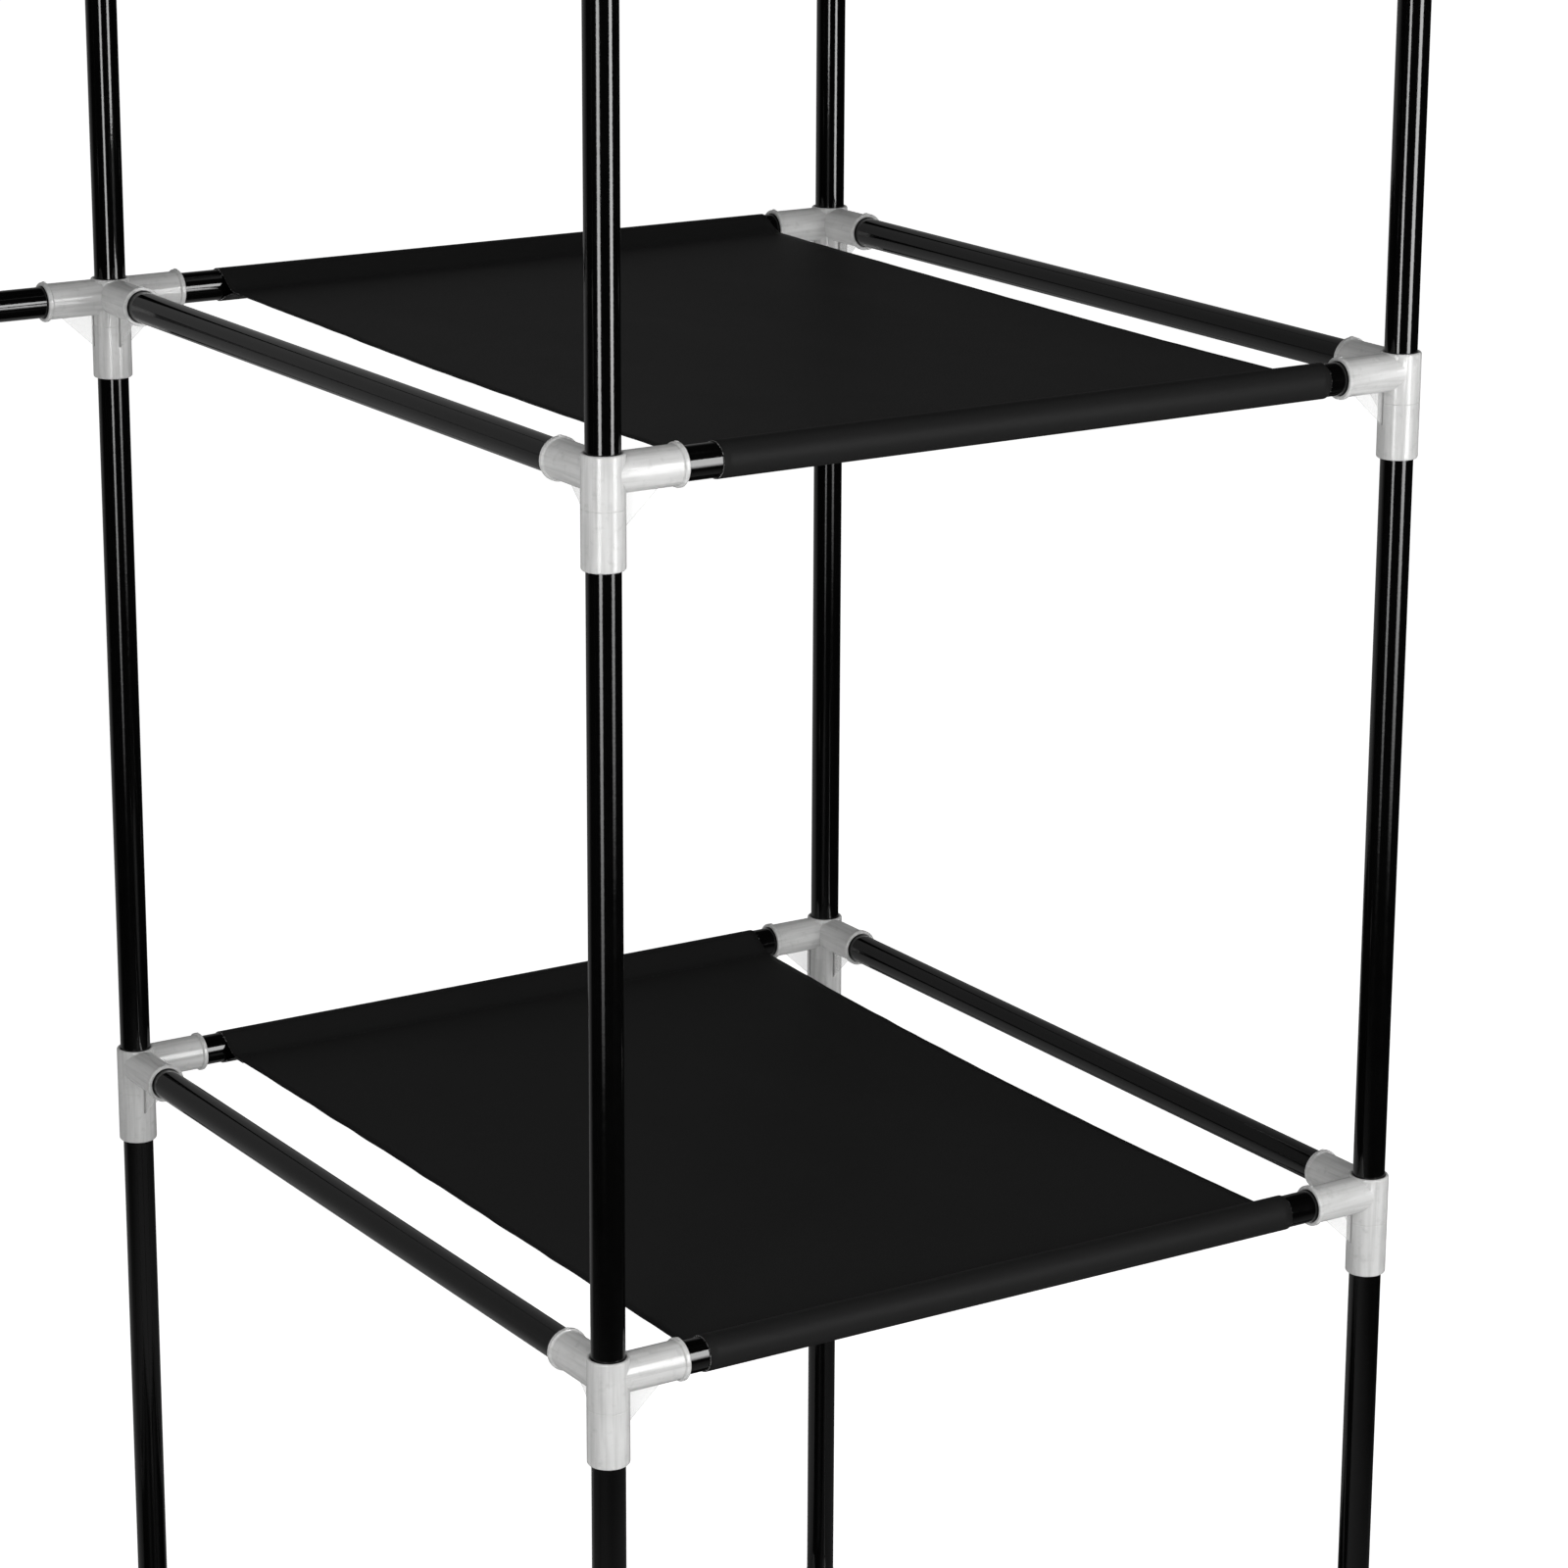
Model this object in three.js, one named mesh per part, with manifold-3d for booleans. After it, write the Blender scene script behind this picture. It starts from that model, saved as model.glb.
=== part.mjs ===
// Portable fabric wardrobe, shown without its cover: a push-fit frame of round steel tubes in
// moulded plastic connectors, with a hanging bay on the left and fabric shelves on the right.
// Millimetres, +Z up, +X to the right, +Y to the back. The origin is on the floor, in the middle.

import * as THREE from 'three';
import { mergeVertices } from 'three/addons/utils/BufferGeometryUtils.js';
import Module from 'manifold-3d';

const wasm = await Module();
wasm.setup();

// Driving sizes of the frame, between tube axes
const bayWidth = 415;
const frameDepth = 470;
const levelSpacing = 393;

// Tubes
const tubeRadius = 7.5;
const tubeWall = 0.8;
const roundSides = 12;

// Fits
const fitGap = 0.3;
const endGap = 0.3;

// Connectors: vertical sleeve, horizontal sockets, lips and webs
const socketWall = 0.9;
const socketReach = 36;
const socketFloor = 10.5;
const lipHeight = 0.9;
const lipWidth = 2.5;
const sleeveDrop = 39.6;
const sleeveWall = 1.6;
const rimRise = 0.2;
const capThickness = 2.5;
const capRise = 0.4;
const webThickness = 1.2;
const webRun = 15;
const webFall = 13;
const webOverlap = 0.8;

// Rail brackets
const bracketHalfLength = 15;

// Fabric shelves: how far the hem keeps from the sockets' mouths, then how far each visible shelf has
// been slid to the right (or to the left, below zero), and how far its sides draw in
const clothThickness = 0.7;
const hemClearance = 13;
const seamReach = 15;
const frontSeamDrop = 1.5;
const panelSag = 2.5;
const lowerShelfShift = -1.5;
const upperShelfShift = 5.5;
const panelWaist = 3;
const lowerPanelWaist = 4.5;
const upperPanelWaist = 1;
const arcSides = 10;
const panelSpans = 8;

// Working distances: how far a cutter runs past what it cuts, and how close points are joined
const cutOverrun = 5;
const weldDistance = 1e-4;

// Sizes that follow from these
const boreRadius = tubeRadius + fitGap;
const socketRadius = boreRadius + socketWall;
const lipRadius = socketRadius + lipHeight;
const sleeveRadius = boreRadius + sleeveWall;
const rimHeight = socketRadius + rimRise;
const capHeight = lipRadius + capRise;
const tubeSeat = socketFloor + endGap;
const hemInset = socketReach + hemClearance;

// Levels from the lowest tubes up, a level spacing apart. The lowest connectors stand on their
// sleeves. The level called empty has no connectors.
const levelOrder = ['bottom', 'lower', 'upper', 'empty', 'top'];
const levelHeight = (level) => sleeveDrop + levelOrder.indexOf(level) * levelSpacing;

// Posts by column and row
const columns = { left: -bayWidth, middle: 0, right: bayWidth };
const rows = { front: -frameDepth / 2, back: frameDepth / 2 };
const inward = { front: '+y', back: '-y' };

// The seams of a shelf's sleeves, as places along the depth and height above the tubes' axes
const frontTip = new THREE.Vector2(rows.front + seamReach, -frontSeamDrop);
const backTip = new THREE.Vector2(rows.back - seamReach, 0);

// Materials
const steel = new THREE.MeshStandardMaterial({ color: 0x0d0d0e, roughness: 0.25, metalness: 0.2 });
steel.name = 'black_steel';
const plastic = new THREE.MeshStandardMaterial({ color: 0xd9d9d8, roughness: 0.35, metalness: 0 });
plastic.name = 'milky_plastic';
const fabric = new THREE.MeshStandardMaterial({ color: 0x1f1f20, roughness: 0.6, metalness: 0 });
fabric.name = 'black_fabric';

// Turns a closed geometry into a solid that can be joined and cut.
function toSolid(geometry) {
  const bare = geometry.index ? geometry.toNonIndexed() : geometry.clone();
  bare.deleteAttribute('normal');
  bare.deleteAttribute('uv');
  const merged = mergeVertices(bare, weldDistance);
  return new wasm.Manifold(new wasm.Mesh({
    numProp: 3,
    vertProperties: new Float32Array(merged.attributes.position.array),
    triVerts: new Uint32Array(merged.index.array),
  }));
}

// Turns a solid back into a geometry that a mesh can show.
function toGeometry(solid) {
  const mesh = solid.getMesh();
  const geometry = new THREE.BufferGeometry();
  geometry.setAttribute('position', new THREE.BufferAttribute(mesh.vertProperties, mesh.numProp));
  geometry.setIndex(new THREE.BufferAttribute(mesh.triVerts, 1));
  geometry.computeVertexNormals();
  return geometry;
}

// A lathe's axis is Y. These turn it to the axis named, keeping its sides in step with the others.
function alongZ(geometry) {
  return geometry.rotateX(Math.PI / 2);
}

function alongDirection(geometry, direction) {
  const turns = { '+x': -Math.PI / 2, '-x': Math.PI / 2 };
  if (direction in turns) return geometry.rotateZ(turns[direction]);
  return geometry.rotateX(direction === '+y' ? 0 : Math.PI);
}

// A solid of revolution from its outline, given as [radius, height] pairs that rise.
function turned(outline) {
  const [, low] = outline.at(0);
  const [, high] = outline.at(-1);
  const points = [[0, low], ...outline, [0, high]];
  return new THREE.LatheGeometry(points.map(([x, y]) => new THREE.Vector2(x, y)), roundSides);
}

// A straight hollow tube, centred on the origin.
function tubeGeometry(length) {
  const innerRadius = tubeRadius - tubeWall;
  const half = length / 2;
  const section = [
    [innerRadius, -half], [tubeRadius, -half],
    [tubeRadius, half], [innerRadius, half], [innerRadius, -half],
  ];
  return new THREE.LatheGeometry(section.map(([x, y]) => new THREE.Vector2(x, y)), roundSides);
}

// The thin triangle under a socket, from the sleeve to the socket's underside.
function webGeometry(direction) {
  const root = socketRadius - webOverlap;
  const outline = new THREE.Shape([
    new THREE.Vector2(root, -root),
    new THREE.Vector2(root, -socketRadius - webFall),
    new THREE.Vector2(sleeveRadius, -socketRadius - webFall),
    new THREE.Vector2(socketRadius + webRun, -socketRadius),
    new THREE.Vector2(socketRadius + webRun, -root),
  ]);
  const web = new THREE.ExtrudeGeometry(outline, { depth: webThickness, bevelEnabled: false });
  web.translate(0, 0, -webThickness / 2).rotateX(Math.PI / 2);
  const turns = { '+x': 0, '+y': 1, '-x': 2, '-y': 3 };
  return web.rotateZ(turns[direction] * Math.PI / 2);
}

// The outside of one horizontal socket, from the post's axis to its lipped mouth.
function socketOutside(direction) {
  const lipStart = socketReach - lipWidth;
  return alongDirection(turned([
    [socketRadius, 0], [socketRadius, lipStart], [lipRadius, lipStart], [lipRadius, socketReach],
  ]), direction);
}

// The blind bore that one horizontal tube is pushed into.
function socketBore(direction) {
  const outline = [[boreRadius, socketFloor], [boreRadius, socketReach + cutOverrun]];
  return alongDirection(turned(outline), direction);
}

// A connector with its sleeve hanging down from the level of its sockets. The sleeve is open at both
// ends, or closed above at the top level, or below at the bottom one.
function connectorGeometry(directions, level) {
  const upperEnd = level === 'top' ? capHeight : rimHeight;
  const boreHigh = level === 'top' ? capHeight - capThickness : rimHeight + cutOverrun;
  const boreLow = -sleeveDrop + (level === 'bottom' ? capThickness : -cutOverrun);
  let body = toSolid(alongZ(turned([[sleeveRadius, -sleeveDrop], [sleeveRadius, upperEnd]])));
  for (const direction of directions) {
    body = body.add(toSolid(socketOutside(direction))).add(toSolid(webGeometry(direction)));
  }
  body = body.subtract(toSolid(alongZ(turned([[boreRadius, boreLow], [boreRadius, boreHigh]]))));
  for (const direction of directions) {
    body = body.subtract(toSolid(socketBore(direction)));
  }
  return toGeometry(body);
}

// A T-shaped bracket that sits on a depth tube, along Y, and holds one end of the hanging rail.
function bracketGeometry(direction) {
  const saddle = turned([[lipRadius, -bracketHalfLength], [lipRadius, bracketHalfLength]]);
  const passageEnd = bracketHalfLength + cutOverrun;
  const passage = turned([[boreRadius, -passageEnd], [boreRadius, passageEnd]]);
  return toGeometry(toSolid(saddle)
    .add(toSolid(socketOutside(direction)))
    .subtract(toSolid(passage))
    .subtract(toSolid(socketBore(direction))));
}

// Points of a sleeve's section around a tube at (centre, 0), from one side of its seam to the other.
function sleeveArc(centre, radius, tip) {
  const toTip = Math.atan2(tip.y, tip.x - centre);
  const spread = Math.acos(radius / Math.hypot(tip.x - centre, tip.y));
  const sweep = 2 * (Math.PI - spread);
  return Array.from({ length: arcSides + 1 }, (_, i) => {
    const angle = toTip + spread + sweep * i / arcSides;
    return new THREE.Vector2(centre + radius * Math.cos(angle), radius * Math.sin(angle));
  });
}

// The section of a shelf from front to back: a sleeve round each tube and the sagging panel between.
function shelfSection() {
  const innerRadius = boreRadius / Math.cos(Math.PI / arcSides);
  const outerRadius = innerRadius + clothThickness;
  const panelPoint = (share, offset) => new THREE.Vector2(
    frontTip.x + (backTip.x - frontTip.x) * share,
    frontTip.y + (backTip.y - frontTip.y) * share - 4 * panelSag * share * (1 - share) + offset,
  );
  const shares = Array.from({ length: panelSpans + 1 }, (_, i) => i / panelSpans);
  const top = shares.map((share) => panelPoint(share, clothThickness / 2));
  const underside = shares.map((share) => panelPoint(share, -clothThickness / 2)).reverse();

  const section = new THREE.Shape([
    ...sleeveArc(rows.back, outerRadius, backTip).reverse(),
    ...underside,
    ...sleeveArc(rows.front, outerRadius, frontTip).reverse(),
    ...top,
  ]);
  for (const [row, tip] of [[rows.front, frontTip], [rows.back, backTip]]) {
    const insideTip = new THREE.Vector2(tip.x + Math.sign(row - tip.x) * 2 * clothThickness, tip.y);
    section.holes.push(new THREE.Path([...sleeveArc(row, innerRadius, tip), insideTip]));
  }
  return section;
}

// The piece of a shelf's side that is cut away: a shallow arc in plan, from seam to seam.
function sideCutter(edge, depth, outside) {
  const arc = Array.from({ length: panelSpans + 1 }, (_, i) => {
    const share = i / panelSpans;
    const along = frontTip.x + (backTip.x - frontTip.x) * share;
    return new THREE.Vector2(edge + 4 * depth * share * (1 - share), along);
  });
  const outline = new THREE.Shape([
    ...arc, new THREE.Vector2(outside, backTip.x), new THREE.Vector2(outside, frontTip.x),
  ]);
  const height = 2 * (lipRadius + panelSag + frontSeamDrop);
  const cutter = new THREE.ExtrudeGeometry(outline, { depth: height, bevelEnabled: false });
  return cutter.translate(0, 0, -height / 2);
}

// A fabric shelf. Its sides run from hemLeft to hemRight along X, and draw in by waist at the
// middle of the panel.
function shelfGeometry(hemLeft, hemRight, waist) {
  const extent = { depth: hemRight - hemLeft, bevelEnabled: false };
  const cloth = new THREE.ExtrudeGeometry(shelfSection(), extent);
  const alongX = new THREE.Matrix4().makeBasis(
    new THREE.Vector3(0, 1, 0), new THREE.Vector3(0, 0, 1), new THREE.Vector3(1, 0, 0),
  );
  return toGeometry(toSolid(cloth.applyMatrix4(alongX).translate(hemLeft, 0, 0))
    .subtract(toSolid(sideCutter(hemLeft, waist, hemLeft - cutOverrun)))
    .subtract(toSolid(sideCutter(hemRight, -waist, hemRight + cutOverrun))));
}

// One named piece at its place.
function piece(name, geometry, material, [x, y, z]) {
  const mesh = new THREE.Mesh(geometry, material);
  mesh.name = name;
  mesh.position.set(x, y, z);
  return mesh;
}

// Which way the sockets of each post's connectors point, besides the one along the depth.
const sideSockets = {
  left: { bottom: ['+x'], upper: { front: [], back: ['+x'] }, top: ['+x'] },
  middle: {
    bottom: ['-x', '+x'], lower: ['+x'], upper: { front: ['+x'], back: ['-x', '+x'] }, top: ['-x', '+x'],
  },
  right: { bottom: ['-x'], lower: ['-x'], upper: ['-x'], top: ['-x'] },
};

function socketsAt(column, level, row) {
  const sides = sideSockets[column][level];
  return [...(Array.isArray(sides) ? sides : sides[row]), inward[row]];
}

function postsGroup() {
  const group = new THREE.Group();
  const low = capThickness + endGap;
  const high = levelHeight('top') + capHeight - capThickness - endGap;
  for (const [column, x] of Object.entries(columns)) {
    for (const [row, y] of Object.entries(rows)) {
      const geometry = alongZ(tubeGeometry(high - low));
      group.add(piece(`${column}_${row}_post`, geometry, steel, [x, y, (low + high) / 2]));
    }
  }
  return group;
}

function connectorsGroup() {
  const group = new THREE.Group();
  for (const [column, levels] of Object.entries(sideSockets)) {
    for (const level of Object.keys(levels)) {
      for (const [row, y] of Object.entries(rows)) {
        const geometry = connectorGeometry(socketsAt(column, level, row), level);
        const place = [columns[column], y, levelHeight(level)];
        group.add(piece(`${column}_${row}_${level}_connector`, geometry, plastic, place));
      }
    }
  }
  return group;
}

function depthTubesGroup() {
  const group = new THREE.Group();
  for (const [column, levels] of Object.entries(sideSockets)) {
    for (const level of Object.keys(levels)) {
      const geometry = tubeGeometry(frameDepth - 2 * tubeSeat);
      const place = [columns[column], 0, levelHeight(level)];
      group.add(piece(`${column}_${level}_depth_tube`, geometry, steel, place));
    }
  }
  return group;
}

// Bays with their middle along X, and the levels at which each row has a tube.
const bays = {
  right: {
    centre: bayWidth / 2,
    tubes: { front: ['bottom', 'lower', 'upper', 'top'], back: ['bottom', 'lower', 'upper', 'top'] },
  },
  left: { centre: -bayWidth / 2, tubes: { front: ['bottom', 'top'], back: ['bottom', 'upper', 'top'] } },
};

function widthTubesGroup() {
  const group = new THREE.Group();
  for (const [bay, { centre, tubes }] of Object.entries(bays)) {
    for (const [row, levels] of Object.entries(tubes)) {
      for (const level of levels) {
        const geometry = alongDirection(tubeGeometry(bayWidth - 2 * tubeSeat), '+x');
        const place = [centre, rows[row], levelHeight(level)];
        group.add(piece(`${bay}_bay_${row}_${level}_tube`, geometry, steel, place));
      }
    }
  }
  return group;
}

function hangingRailGroup() {
  const group = new THREE.Group();
  const height = levelHeight('top');
  const rail = alongDirection(tubeGeometry(bayWidth - 2 * tubeSeat), '+x');
  group.add(piece('hanging_rail', rail, steel, [bays.left.centre, 0, height]));
  group.add(piece('left_rail_bracket', bracketGeometry('+x'), plastic, [columns.left, 0, height]));
  group.add(piece('middle_rail_bracket', bracketGeometry('-x'), plastic, [columns.middle, 0, height]));
  return group;
}

// Where each shelf is, how far it has been slid to the right and how far its sides draw in.
const shelves = [
  { bay: 'right', level: 'bottom', shift: 0, waist: panelWaist },
  { bay: 'right', level: 'lower', shift: lowerShelfShift, waist: lowerPanelWaist },
  { bay: 'right', level: 'upper', shift: upperShelfShift, waist: upperPanelWaist },
  { bay: 'right', level: 'top', shift: 0, waist: panelWaist },
  { bay: 'left', level: 'bottom', shift: 0, waist: panelWaist },
];

function shelvesGroup() {
  const group = new THREE.Group();
  const halfHem = bayWidth / 2 - hemInset;
  for (const { bay, level, shift, waist } of shelves) {
    const geometry = shelfGeometry(shift - halfHem, shift + halfHem, waist);
    const place = [bays[bay].centre, 0, levelHeight(level)];
    group.add(piece(`${bay}_bay_${level}_shelf`, geometry, fabric, place));
  }
  return group;
}

const wardrobe = new THREE.Group();
wardrobe.add(
  postsGroup(), connectorsGroup(), depthTubesGroup(),
  widthTubesGroup(), hangingRailGroup(), shelvesGroup(),
);

export default wardrobe;
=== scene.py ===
"""Looks of a portable fabric wardrobe, shown without its cover.

A push-fit frame of black enamelled steel tubes in milky moulded connectors, with a hanging bay on the
left and taut black cloth shelves on the right. Metres, +Z up, +X to the right and +Y to the back, with
the origin on the floor under the middle posts.
"""
import logging
import math
import random
from collections.abc import Callable, Iterator
from contextlib import contextmanager
from dataclasses import dataclass
from enum import Enum, IntEnum

import bmesh
import bpy
from mathutils import Matrix, Vector, noise


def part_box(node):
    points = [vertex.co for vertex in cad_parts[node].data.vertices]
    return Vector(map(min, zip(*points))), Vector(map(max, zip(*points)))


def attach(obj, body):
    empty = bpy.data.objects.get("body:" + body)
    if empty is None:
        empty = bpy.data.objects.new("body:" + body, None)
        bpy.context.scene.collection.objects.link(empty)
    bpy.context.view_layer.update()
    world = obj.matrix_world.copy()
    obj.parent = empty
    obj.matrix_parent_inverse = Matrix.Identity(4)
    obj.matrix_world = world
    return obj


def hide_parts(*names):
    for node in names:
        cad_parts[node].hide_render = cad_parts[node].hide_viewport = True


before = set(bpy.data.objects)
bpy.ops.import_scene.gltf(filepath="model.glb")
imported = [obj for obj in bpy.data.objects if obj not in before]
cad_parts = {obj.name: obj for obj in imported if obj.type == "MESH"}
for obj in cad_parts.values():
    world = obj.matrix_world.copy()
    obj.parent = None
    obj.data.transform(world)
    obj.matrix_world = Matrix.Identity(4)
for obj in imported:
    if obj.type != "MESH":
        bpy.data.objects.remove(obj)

LOG = logging.getLogger("wardrobe")
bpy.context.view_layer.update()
BODY = "root"
UNTURNED = Matrix.Identity(4)
FULL = (0.0, 1.0)
Span = tuple[float, float]
Triple = tuple[float, float, float]
Outline = list[Span]
Thing = bpy.types.Object
Socket = bpy.types.NodeSocket
Value = float | tuple[float, ...] | Socket


class Slot(Enum):
    """The record's material slots."""

    STEEL = "black_steel"
    PLASTIC = "milky_plastic"
    CLOTH = "black_fabric"


class Way(IntEnum):
    """Where a socket points, in quarter turns about the post from the right."""

    RIGHT = 0
    BACK = 1
    LEFT = 2
    FRONT = 3


class Closed(Enum):
    """Which end of a bore is closed."""

    NEITHER = "open"
    ABOVE = "top"
    BELOW = "bottom"

    @classmethod
    def at(cls, level: str) -> "Closed":
        """Gives the closed end of the connectors at a level."""
        return next((end for end in cls if end.value == level), cls.NEITHER)


class Run(Enum):
    """Which way a straight tube runs, as the axis of its longest side."""

    ACROSS = 0
    DEEP = 1
    UPRIGHT = 2


# Small sums


def quarter(turns: float, axis: str = "Z") -> Matrix:
    """Gives a turn about an axis through the origin, counted in right angles."""
    return Matrix.Rotation(turns * math.pi / 2, 4, axis)


def clamped(share: float) -> float:
    """Holds a share between 0 and 1."""
    return min(1.0, max(0.0, share))


def bowed(start: float, end: float, bow: float, share: float) -> float:
    """Gives a value on the way from one to another, which bows out halfway."""
    return start + (end - start) * share + 4 * bow * share * (1 - share)


def rounded(outline: Outline, radius: float, steps: int = 4) -> Outline:
    """Rounds the inner corners of an open outline.

    Args:
        outline: Points as (distance from the axis, height).
        radius: How far from a corner its round begins, at most.
        steps: How many spans make one round.

    Returns:
        The outline with each corner but the two ends replaced by a small curve.
    """
    most = 0.45
    points = [Vector(point) for point in outline]
    made = [points[0]]
    for before, corner, after in zip(points, points[1:], points[2:]):
        reach = min(radius, (corner - before).length * most, (after - corner).length * most)
        start = corner + (before - corner).normalized() * reach
        end = corner + (after - corner).normalized() * reach
        for step in range(steps + 1):
            share = step / steps
            made.append(start.lerp(corner, share).lerp(corner.lerp(end, share), share))
    made.append(points[-1])
    return [(point.x, point.y) for point in made]


# Blender's tools, used as by hand


def deselect_all() -> None:
    """Goes back to object mode with nothing selected."""
    if bpy.context.mode != "OBJECT":
        bpy.ops.object.mode_set(mode="OBJECT")
    bpy.ops.object.select_all(action="DESELECT")


def pick(thing: Thing) -> None:
    """Makes one object the only selected one, and the active one.

    Args:
        thing: The object.
    """
    deselect_all()
    thing.select_set(True)
    bpy.context.view_layer.objects.active = thing


@contextmanager
def editing(thing: Thing) -> Iterator[None]:
    """Opens an object in edit mode, selected all over, for as long as the block lasts.

    Args:
        thing: The object to open.

    Returns:
        What a with statement takes.
    """
    pick(thing)
    bpy.ops.object.mode_set(mode="EDIT")
    bpy.ops.mesh.select_all(action="SELECT")
    yield
    bpy.ops.object.mode_set(mode="OBJECT")


def face_outwards() -> None:
    """Points all faces of the open object outwards."""
    bpy.ops.mesh.select_all(action="SELECT")
    bpy.ops.mesh.normals_make_consistent(inside=False)


def choose_edges(thing: Thing, wanted: Callable[[bmesh.types.BMEdge], bool]) -> int:
    """Selects edges in edit mode by a test on each.

    Args:
        thing: The object that is open in edit mode.
        wanted: Says whether an edge is to be selected.

    Returns:
        How many edges are selected.
    """
    bpy.ops.mesh.select_mode(type="EDGE")
    bpy.ops.mesh.select_all(action="DESELECT")
    work = bmesh.from_edit_mesh(thing.data)
    chosen = [edge for edge in work.edges if wanted(edge)]
    for edge in chosen:
        edge.select_set(True)
    bmesh.update_edit_mesh(thing.data)
    return len(chosen)


def apply_modifier(thing: Thing, kind: str, **settings: object) -> None:
    """Puts one modifier on an object and applies it.

    Args:
        thing: The object to change.
        kind: The modifier's type, such as SOLIDIFY.
        **settings: The modifier's own settings by name.
    """
    pick(thing)
    modifier = thing.modifiers.new(kind.lower(), kind)
    for name, value in settings.items():
        setattr(modifier, name, value)
    bpy.ops.object.modifier_apply(modifier=modifier.name)


def smooth(thing: Thing, degrees: float) -> None:
    """Shades an object smooth, and keeps edges sharper than an angle crisp."""
    pick(thing)
    bpy.ops.object.shade_smooth_by_angle(angle=math.radians(degrees))


def discard(*things: Thing) -> None:
    """Removes helper objects with their meshes."""
    for thing in things:
        bpy.data.meshes.remove(thing.data)


def primitive(
    operator: Callable[..., set], name: str, scale: Triple = (1, 1, 1), **settings: object
) -> Thing:
    """Adds a primitive, with its place and its scale in its mesh.

    Args:
        operator: The operator that adds it.
        name: The new object's name.
        scale: How much it is stretched along each axis.
        **settings: The operator's own settings.

    Returns:
        The new object.
    """
    deselect_all()
    operator(**settings)
    thing = bpy.context.active_object
    thing.name = thing.data.name = name
    thing.scale = scale
    bpy.ops.object.transform_apply(location=True, rotation=False, scale=True)
    return thing


def circle(name: str, sides: int, radius: float, height: float) -> Thing:
    """Adds an open ring about Z."""
    return primitive(bpy.ops.mesh.primitive_circle_add, name, vertices=sides, radius=radius,
                     fill_type="NOTHING", location=(0, 0, height))


def turned(name: str, outline: Outline, sides: int) -> Thing:
    """Turns a closed solid about Z, by extruding a disc upwards and resizing it at each step.

    Args:
        name: The object's name.
        outline: Points of the side as (radius, height), from the lowest up.
        sides: How many sides the round has.

    Returns:
        The solid, closed by a flat face at each end.
    """
    least = 1e-9
    thing = circle(name, sides, *outline[0])
    with editing(thing):
        bpy.ops.mesh.edge_face_add()
        for (r0, h0), (r1, h1) in zip(outline, outline[1:]):
            bpy.ops.mesh.extrude_region_move(TRANSFORM_OT_translate={"value": (0, 0, h1 - h0)})
            if abs(r1 - r0) > least:
                bpy.ops.transform.resize(value=(r1 / r0, r1 / r0, 1), center_override=(0, 0, h1))
        face_outwards()
    return thing


def combine(base: Thing, other: Thing, operation: str, turn: Matrix = UNTURNED) -> None:
    """Joins a solid to another or cuts it out, and throws the other one away.

    Args:
        base: The solid that stays.
        other: The solid that is joined or cut out.
        operation: UNION or DIFFERENCE.
        turn: How the other one is turned about the origin first.
    """
    other.data.transform(turn)
    apply_modifier(base, "BOOLEAN", operation=operation, object=other, solver="EXACT")
    discard(other)


def placed_copy(pattern: Thing, name: str, place: Matrix) -> Thing:
    """Copies an object with a mesh of its own, and puts its place in that mesh.

    Args:
        pattern: The object to copy, modelled about the origin.
        name: The copy's name.
        place: Where the copy goes, without any scale.

    Returns:
        The copy, with its object at the origin.
    """
    pick(pattern)
    bpy.ops.object.duplicate(linked=False)
    copy = bpy.context.active_object
    copy.name = copy.data.name = name
    copy.data.transform(place)
    copy.data.update()
    return copy


def put_in_scene(name: str, data: bpy.types.ID) -> Thing:
    """Makes an object of a mesh, a light or a camera, and puts it in the scene.

    Args:
        name: The object's name.
        data: The mesh, the light or the camera.

    Returns:
        The new object.
    """
    thing = bpy.data.objects.new(name, data)
    bpy.context.scene.collection.objects.link(thing)
    return thing


def mesh_piece(name: str, work: bmesh.types.BMesh) -> Thing:
    """Makes an object of a finished bmesh.

    Args:
        name: The object's name.
        work: The bmesh, which is freed.

    Returns:
        The new object.
    """
    mesh = bpy.data.meshes.new(name)
    work.to_mesh(mesh)
    work.free()
    return put_in_scene(name, mesh)


def finish_piece(thing: Thing, material: bpy.types.Material, node: str | None = None) -> None:
    """Dresses a finished piece, hangs it on the frame and reports it.

    Args:
        thing: The piece, with its place in its mesh.
        material: Its material.
        node: The CAD node that it stands for, or None where it is an extra detail.
    """
    thing.data.materials.clear()
    thing.data.materials.append(material)
    if node:
        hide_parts(node)
    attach(thing, BODY)
    LOG.info("%s: %d faces", thing.name, len(thing.data.polygons))


# Finishes


def grey(tone: float, yellow: float = 0.0) -> tuple[float, float, float, float]:
    """Gives a grey, with a little less blue where it is yellowed."""
    return tone, tone, tone - yellow, 1.0


@dataclass(frozen=True)
class Grain:
    """A noise pattern: cells to a metre, finer octaves, their strength, and which of its values count."""

    scale: float
    detail: float = 2.0
    roughness: float = 0.5
    span: Span | None = None


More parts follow.
